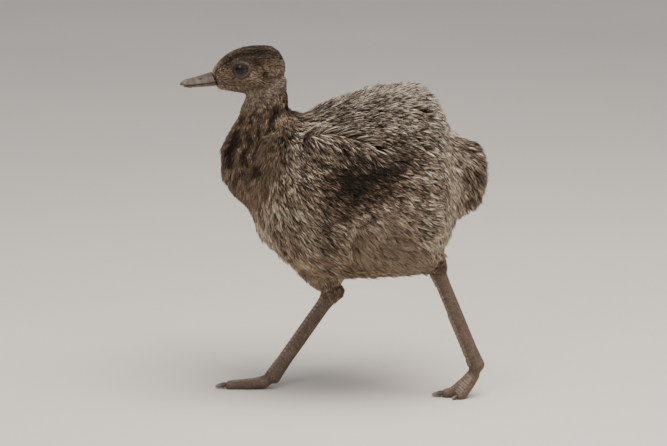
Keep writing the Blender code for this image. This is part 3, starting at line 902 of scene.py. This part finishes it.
eye_material, tree, shader = new_material(
    "eye", Roughness=0.25, Coat_Weight=1.0, Coat_Roughness=0.02, Coat_IOR=1.28, Specular_IOR_Level=0.1
)
fibres = ramp(tree, noise_at(tree, 900.0, 4.0), (0.35, 0.55), (0.65, (1.35, 1.25, 1.15)))
rings = ramp(
    tree, attribute(tree, "off_axis"),
    (PUPIL_EDGE - 0.01, (0.0025, 0.0025, 0.003)),
    (PUPIL_EDGE + 0.02, (0.020, 0.011, 0.006)),
    (PUPIL_EDGE + 0.18, (0.034, 0.019, 0.010)),
    (IRIS_EDGE - 0.04, (0.020, 0.012, 0.007)),
    (IRIS_EDGE + 0.01, (0.008, 0.006, 0.005)),
    (IRIS_EDGE + 0.12, (0.090, 0.070, 0.060)),
)
tree.links.new(mix(tree, 1.0, rings, fibres, "MULTIPLY"), shader["Base Color"])


def eye_matrix(side):
    """Puts a shape made about the origin, looking along Z, in the eye's place."""
    axis, front, up = eye_directions(side)
    turned = Matrix((front, up, axis)).transposed()
    return Matrix.Translation(Vector(eye_middle[side])) @ turned.to_4x4()


for side, sign in SIDES.items():
    ball = bmesh.new()
    bmesh.ops.create_uvsphere(ball, u_segments=64, v_segments=44, radius=EYE_RADIUS)
    for vertex in ball.verts:
        share = math.hypot(vertex.co.x, vertex.co.y) / EYE_RADIUS
        if vertex.co.z > 0:
            vertex.co *= 1 + CORNEA_BULGE / EYE_RADIUS * math.exp(-((share / 0.5) ** 4))
    bmesh.ops.transform(ball, matrix=eye_matrix(side), verts=ball.verts)
    everything = [*ball.verts, *ball.edges, *ball.faces]
    cut = bmesh.ops.bisect_plane(
        ball, geom=everything, plane_co=(0, sign * SOCKET_FLOOR, 0), plane_no=(0, -sign, 0), clear_outer=True
    )
    bmesh.ops.holes_fill(ball, edges=[g for g in cut["geom_cut"] if isinstance(g, bmesh.types.BMEdge)])
    bmesh.ops.recalc_face_normals(ball, faces=ball.faces)
    eye = new_piece(f"eyeball_{side}", ball, eye_material)
    off_axis, _, _ = about_eye(read_vectors(eye.data.vertices, "co"), side)
    give_points(eye.data, "off_axis", np.where(off_axis < math.pi / 2, np.sin(off_axis), 1.0))
    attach(eye, "root")
    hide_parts(f"eye_{side}")

# ------------------------------------------------------------------------------
# Lids and lashes
# Bare, wrinkled lids of skin, seated on the eyeball. The upper one is heavier, with a fold over it, and
# bears a row of stiff dark lashes.

LID_SECTION = (  # beyond the opening's edge in radians, and over the eyeball in metres
    (-0.045, -0.00060),
    (-0.020, 0.00018),
    (0.020, 0.00052),
    (0.075, 0.00066),
    (0.125, 0.00050),
    (0.160, 0.00030),
    (0.200, 0.00052),
    (0.260, 0.00048),
    (0.330, 0.00005),
    (0.400, -0.00070),
    (0.400, -0.00170),
    (0.100, -0.00170),
)
UPPER_LID_WEIGHT = 1.5  # how much thicker the upper lid is
LID_START = 0.6  # any angle to spin the section at, before it takes the opening's shape
LASH_COUNT = 17
LASH_ARC = (math.radians(22), math.radians(165))  # from the front corner, over the top
LASH = {
    "tall": 0.0034, "long": 0.0028, "wide": 0.00042, "clump": 1.0, "pale": 0.06, "warm": 0.3, "uneven": 0.0,
}

lid_material = scaled_material(
    "lids", 1900.0, (0.030, 0.022, 0.017), (0.105, 0.080, 0.062), strength=0.5, distance=0.00015
)
for side in SIDES:
    lids = bmesh.new()
    section = []
    for beyond, proud in LID_SECTION:
        radius, angle = EYE_RADIUS + proud, LID_START + beyond
        section.append(lids.verts.new((radius * math.sin(angle), 0, radius * math.cos(angle))))
    loop = [lids.edges.new((a, b)) for a, b in zip(section, section[1:] + section[:1])]
    bmesh.ops.spin(
        lids, geom=section + loop, cent=(0, 0, 0), axis=(0, 0, 1), angle=math.tau, steps=72, use_merge=True
    )
    for vertex in lids.verts:
        radius = vertex.co.length
        round_eye = math.atan2(vertex.co.y, vertex.co.x)
        beyond = math.acos(vertex.co.z / radius) - LID_START
        heavy = 1 + (UPPER_LID_WEIGHT - 1) * float(fade(math.sin(round_eye), -0.1, 0.5))
        if radius > EYE_RADIUS:
            radius = EYE_RADIUS + CORNEA_BULGE * 0.3 + (radius - EYE_RADIUS) * heavy
        angle = float(lid_edge(round_eye)) + beyond
        vertex.co = (
            radius * math.sin(angle) * math.cos(round_eye),
            radius * math.sin(angle) * math.sin(round_eye),
            radius * math.cos(angle),
        )
    bmesh.ops.transform(lids, matrix=eye_matrix(side), verts=lids.verts)
    bmesh.ops.recalc_face_normals(lids, faces=lids.faces)
    lid = new_piece(f"lids_{side}", lids, lid_material)
    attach(lid, "root")

    axis, front, up = eye_directions(side)
    round_eye = np.linspace(*LASH_ARC, LASH_COUNT) + rng.normal(0, 0.02, LASH_COUNT)
    off_axis = lid_edge(round_eye) + 0.02
    away = np.cos(round_eye)[:, None] * front + np.sin(round_eye)[:, None] * up
    out = np.cos(off_axis)[:, None] * axis + np.sin(off_axis)[:, None] * away
    lash_roots = {name: np.full(LASH_COUNT, value) for name, value in LASH.items()}
    lash_roots["at"] = eye_middle[side] + out * (EYE_RADIUS + 0.0005)
    lash_roots["up"], lash_roots["lie"] = out, along_surface(away, out)
    lay_down(f"lashes_{side}", lash_roots, np.stack([round_eye, off_axis], 1), LONG_LOCK, 0.08)

# ------------------------------------------------------------------------------
# Bill
# The horny sheath over both jaws: broad, flat and blunt, with a hard nail at its tip, a ridge along its
# middle and a groove on each side that holds the nostril slit.

BILL_VOXEL = 0.0004
NAIL_LENGTH, NAIL_HEIGHT, NAIL_CREASE = 0.0078, 0.00036, 0.00022
RIDGE_HEIGHT, RIDGE_WIDTH = 0.00035, 0.0021
GROOVE_OFF_MIDDLE, GROOVE_DEPTH, GROOVE_WIDTH = 0.0050, 0.00045, 0.0009
WEAR = 0.00016

horn, given, result = node_group(
    "worn horn",
    {"Tip": ("Float",), "Root": ("Color",), "End": ("Color",)},
    {"Color": ("Color",), "Height": ("Float",), "Roughness": ("Float",)},
)
growth = noise_at(horn, 420.0, 4.0, (1.0, 0.18, 0.18))
pits = noise_at(horn, 2200.0, 2.0)
blotches = noise_at(horn, 170.0, 3.0)
cloudy = sums(horn, "MULTIPLY", sums(horn, "SUBTRACT", blotches, 0.5), 0.9)
towards_end = ramp(horn, sums(horn, "ADD", given["Tip"], cloudy), (0.25, 0.0), (0.85, 1.0))
base = mix(horn, towards_end, given["Root"], given["End"])
lines = ramp(horn, growth, (0.35, (0.72, 0.70, 0.68)), (0.62, (1.10, 1.09, 1.07)))
horn.links.new(mix(horn, 1.0, base, lines, "MULTIPLY"), result["Color"])
horn.links.new(sums(horn, "ADD", growth, sums(horn, "MULTIPLY", pits, 0.35)), result["Height"])
horn.links.new(ramp(horn, blotches, (0.3, 0.42), (0.7, 0.62)), result["Roughness"])


def horn_material(name, root, end, distance):
    """Worn horn, from the colour at its root to the colour at its end, with bumps this high."""
    material, tree, shader = new_material(name, Specular_IOR_Level=0.5)
    worn = use_group(tree, horn, Tip=attribute(tree, "tip"), Root=(*root, 1), End=(*end, 1))
    finish_surface(tree, shader, worn["Color"], worn["Roughness"], worn["Height"], 0.35, distance)
    return material


def sheath_over(node_name, name, voxel, rounds, growth=0.0):
    """A piece of horn over a solid, remade as one closed sheet, with its mesh and its evened points."""
    bm = bmesh.new()
    solid_copy(bm, node_name, growth)
    piece = new_piece(name, bm)
    mesh = made_one(piece, voxel)
    return piece, mesh, spread(read_vectors(mesh.vertices, "co"), edges_of(mesh), rounds)


bill_material = horn_material("bill", (0.062, 0.044, 0.034), (0.118, 0.084, 0.062), 0.00025)
for name, node_name, facing_up in (("upper_bill", "bill_upper", 1), ("lower_bill", "bill_lower", -1)):
    bill, mesh, at = sheath_over(node_name, name, BILL_VOXEL, 9)
    move_points(mesh, at)
    out = read_vectors(mesh.vertices, "normal")
    behind_tip = (at @ ahead).max() - at @ ahead
    off_middle = np.abs(at[:, 1])
    outside = fade(out @ over * facing_up, 0.1, 0.5)
    past_nail = behind_tip - NAIL_LENGTH + (off_middle / 0.0042) ** 2 * 0.0016
    nail = NAIL_HEIGHT * (1 - fade(past_nail, -0.0003, 0.0002))
    crease = NAIL_CREASE * np.exp(-((past_nail / 0.0004 - 1) ** 2))
    ridge = RIDGE_HEIGHT * np.exp(-((off_middle / RIDGE_WIDTH) ** 2)) * fade(past_nail, 0.0004, 0.0030)
    groove = GROOVE_DEPTH * np.exp(-(((off_middle - GROOVE_OFF_MIDDLE) / GROOVE_WIDTH) ** 2))
    groove *= fade(behind_tip, 0.0055, 0.0100) * (facing_up > 0)
    worn_in = WEAR * mottle(at, 0.0035, 5)
    move_points(mesh, at + out * ((nail - crease + ridge - groove + worn_in) * outside)[:, None])
    mesh.shade_smooth()
    towards_tip = 1 - behind_tip / behind_tip.max()
    thin_edge = (off_middle / off_middle.max()) ** 3
    give_points(mesh, "tip", np.clip(towards_tip + 0.25 * (1 - outside) + 0.35 * thin_edge, 0, 1))
    mesh.materials.append(bill_material)
    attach(bill, "root")
    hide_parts(node_name)

# ------------------------------------------------------------------------------
# Corners of the mouth
# A fold of bare, rubbery skin on each cheek, where the two lips of the wide gape run back from the bill. It
# is sunk by half into the skin of the face, and the down stops short of it.

FOLD_HIGH, FOLD_THICK = 0.0014, 0.0015  # half its height at the bill, and how far it stands out
SLIT_DEPTH, SLIT_HIGH = 0.75, 0.22  # the slit between the lips, in shares of the same
lip_material = scaled_material(
    "lips", 1500.0, (0.050, 0.033, 0.026), (0.150, 0.104, 0.080), strength=0.4, distance=0.00012
)


def on_line(at, levels, points):
    """The places at these levels of a line, which is given by points and their levels."""
    return np.stack([np.interp(at, levels, column) for column in points.T], -1)


for side, sign in SIDES.items():
    lips = bmesh.new()
    bmesh.ops.create_uvsphere(lips, u_segments=24, v_segments=22, radius=1.0)
    line = mouth[side]
    forward = unit(line[0] - line[-1])
    outwards = unit(np.array([0, sign, 0]) - forward * forward[1] * sign)
    upwards = np.cross(outwards, forward) * sign
    for vertex in lips.verts:
        out, up, along = vertex.co
        place = (1 - along) / 2 * (MOUTH_STEPS - 1)
        middle = on_line(place, range(MOUTH_STEPS), line)
        slit = 1 - SLIT_DEPTH * math.exp(-((up / SLIT_HIGH) ** 2)) * (out > 0) * (0.5 + 0.5 * along)
        high = FOLD_HIGH * (0.7 + 0.3 * along)
        vertex.co = middle + outwards * (out * FOLD_THICK * slit) + upwards * (up * high)
    if lips.calc_volume(signed=True) < 0:
        bmesh.ops.reverse_faces(lips, faces=lips.faces)
    lip = new_piece(f"mouth_corner_{side}", lips, lip_material)
    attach(lip, "root")

# ------------------------------------------------------------------------------
# Scutes
# Hard plates that overlap down the front of each shank and along the top of each toe. They grow out of the
# scaled skin, and are worn pale along their free edges.

SCUTE_ROWS = {  # number of plates, share of the length they cover, half angle round the limb, way they face
    "shank": (24, (0.07, 0.93), math.radians(56), (-1, 0, 0)),
    "toe_inner": (13, (0.06, 0.80), math.radians(54), (0, 0, 1)),
    "toe_outer": (8, (0.10, 0.80), math.radians(50), (0, 0, 1)),
}
SCUTE_THICKNESS = 0.0006
SCUTE_COLUMNS, SCUTE_STEPS = 8, 4
SCUTE_LIFT = (-0.00030, 0.00010, 0.00030, 0.00042, 0.00022)  # from its root to its free edge
SCUTE_OVERLAP = 1.22
SIDE_DROP = 0.00055  # how far its side edges sink into the skin
EDGE_CURVE = 0.12  # how much shorter a plate is at its sides
LIMB_REACH, LIMB_RADIUS = 0.012, 0.004  # how far the skin can be from the limb's middle, and usually is

scute_material, tree, shader = new_material("scutes", Specular_IOR_Level=0.45)
free_edge = ramp(
    tree, attribute(tree, "edge"), (0.0, (0.45, 0.42, 0.40)), (0.3, 0.95), (1.0, (1.25, 1.22, 1.18))
)
grain = ramp(tree, noise_at(tree, 350.0, 4.0), (0.3, (0.116, 0.080, 0.056)), (0.7, (0.208, 0.152, 0.109)))
plate_colour = mix(tree, 1.0, grain, free_edge, "MULTIPLY")
polish = ramp(tree, noise_at(tree, 500.0), (0.3, 0.38), (0.7, 0.62))
finish_surface(tree, shader, plate_colour, polish, noise_at(tree, 700.0), 0.3, 0.0002)


def limb_line(points, steps=24):
    """The middle line of a limb from its foot end to its top, as points, along its greatest length."""
    middle = points.mean(0)
    axis = np.linalg.svd(points - middle, full_matrices=False)[2][0]
    axis = axis * (1 if axis[2] > 0 else -1)
    along = (points - middle) @ axis
    levels = np.linspace(along.min(), along.max(), steps)
    half = (levels[1] - levels[0]) * 1.6
    centres = []
    for level in levels:
        ring = points[np.abs(along - level) < half]
        centres.append((ring.min(0) + ring.max(0)) / 2 if len(ring) > 3 else np.full(3, np.nan))
    centres = np.array(centres)
    known = ~np.isnan(centres[:, 0])
    return levels, on_line(levels, levels[known], centres[known]), axis


for side in SIDES:
    plates = bmesh.new()
    at_edge = plates.verts.layers.float.new("edge")
    for limb, (number, (start, end), half_angle, facing) in SCUTE_ROWS.items():
        here = nearest_solid == f"{limb}_{side}"
        levels, centres, axis = limb_line(places[here])
        front = unit(np.array(facing) - axis * (np.array(facing) @ axis))
        sideways = np.cross(axis, front)
        span = levels[-1] - levels[0]
        step = span * (end - start) / number
        for k in range(number):
            top = levels[-1] - span * (1 - end) - step * k
            grid = bmesh.ops.create_grid(plates, x_segments=SCUTE_COLUMNS, y_segments=SCUTE_STEPS, size=1.0)
            for vertex in grid["verts"]:
                across, down = vertex.co.x, (1 - vertex.co.y) / 2
                level = top - step * SCUTE_OVERLAP * down * (1 - EDGE_CURVE * across * across)
                origin = on_line(level, levels, centres)
                turn = half_angle * across
                way = front * math.cos(turn) + sideways * math.sin(turn)
                hit = skin_tree.ray_cast(Vector(origin), Vector(way), LIMB_REACH)[0]
                hit = hit or Vector(origin + way * LIMB_RADIUS)
                lift = float(np.interp(down, np.linspace(0, 1, len(SCUTE_LIFT)), SCUTE_LIFT))
                vertex.co = hit + Vector(way) * (lift - SIDE_DROP * abs(across) ** 6)
                vertex[at_edge] = down * (1 - abs(across) ** 4)
            faces = list({f for v in grid["verts"] for f in v.link_faces})
            bmesh.ops.recalc_face_normals(plates, faces=faces)
            bmesh.ops.solidify(plates, geom=faces, thickness=SCUTE_THICKNESS)
    bmesh.ops.recalc_face_normals(plates, faces=plates.faces)
    scutes = new_piece(f"scutes_{side}", plates, scute_material)
    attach(scutes, "root")

# ------------------------------------------------------------------------------
# Nails
# A stout, blunt claw of dark horn ends each toe, worn paler at its tip by walking. It fits close against the
# skin at the toe's end, and clears the floor by a hair.

NAIL_VOXEL, NAIL_CLEARANCE = 0.0003, 0.0002
nail_material = horn_material("nails", (0.060, 0.044, 0.035), (0.200, 0.155, 0.120), 0.0002)
for node_name in sorted(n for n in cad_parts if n.startswith("claw")):
    name = node_name.replace("claw", "nail")
    claw, mesh, at = sheath_over(node_name, name, NAIL_VOXEL, 4, NODE_GROWTH)
    at[:, 2] = np.maximum(at[:, 2], NAIL_CLEARANCE)
    move_points(mesh, at)
    mesh.shade_smooth()
    give_points(mesh, "tip", 1 - (at[:, 0] - at[:, 0].min()) / np.ptp(at[:, 0]))
    mesh.materials.append(nail_material)
    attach(claw, "root")
    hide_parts(node_name)

# ------------------------------------------------------------------------------
# Studio
# A plain pale floor under one large soft light overhead and a weak one in front. The camera looks through a
# long lens from the chick's left side and a little above it.

floor_mesh = bmesh.new()
bmesh.ops.create_grid(floor_mesh, x_segments=1, y_segments=1, size=6.0)
floor_material, tree, shader = new_material("pale floor", Roughness=0.85)
faint = ramp(tree, noise_at(tree, 2.0), (0.3, (0.61, 0.550, 0.48)), (0.7, (0.65, 0.590, 0.52)))
tree.links.new(faint, shader["Base Color"])
floor = new_piece("floor", floor_mesh, floor_material)
floor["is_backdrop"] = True

LIGHTS = (  # name, place, size, watts and colour
    ("top", (0.35, -0.35, 1.5), 1.1, 42, (1.0, 0.97, 0.93)),
    ("front", (-0.9, -1.6, 1.1), 0.7, 9, (1.0, 0.98, 0.96)),
)
LIT_PLACE = Vector((0, 0, 0.17))
world = bpy.data.worlds.new("studio")
world.use_nodes = True
background = world.node_tree.nodes["Background"].inputs
background["Color"].default_value = (0.90, 0.93, 1.0, 1)
background["Strength"].default_value = 0.55
bpy.context.scene.world = world
for name, place, size, watts, tint in LIGHTS:
    light = bpy.data.lights.new(name, "AREA")
    light.size, light.energy, light.color = size, watts, tint
    lamp = placed(name, light)
    lamp.location = place
    lamp.rotation_euler = (LIT_PLACE - lamp.location).to_track_quat("-Z", "Y").to_euler()

CAMERA_ELEVATION = math.radians(12)
CAMERA_DISTANCE = 3.2
VIEW_WIDTH = 0.565  # what the frame spans at the chick, in metres
camera_data = bpy.data.cameras.new("camera")
camera_data.lens = camera_data.sensor_width * CAMERA_DISTANCE / VIEW_WIDTH
camera = placed("camera", camera_data)
aim = Vector((0.0, 0.0, (cad_box[0][2] + cad_box[1][2]) / 2 - 0.002))
back = Vector((0, -math.cos(CAMERA_ELEVATION), math.sin(CAMERA_ELEVATION)))
camera.location = aim + back * CAMERA_DISTANCE
camera.rotation_euler = (-back).to_track_quat("-Z", "Y").to_euler()
bpy.context.scene.camera = camera

size = {"cad": [list(c) for c in cad_box], "visual": [list(c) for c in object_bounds()]}
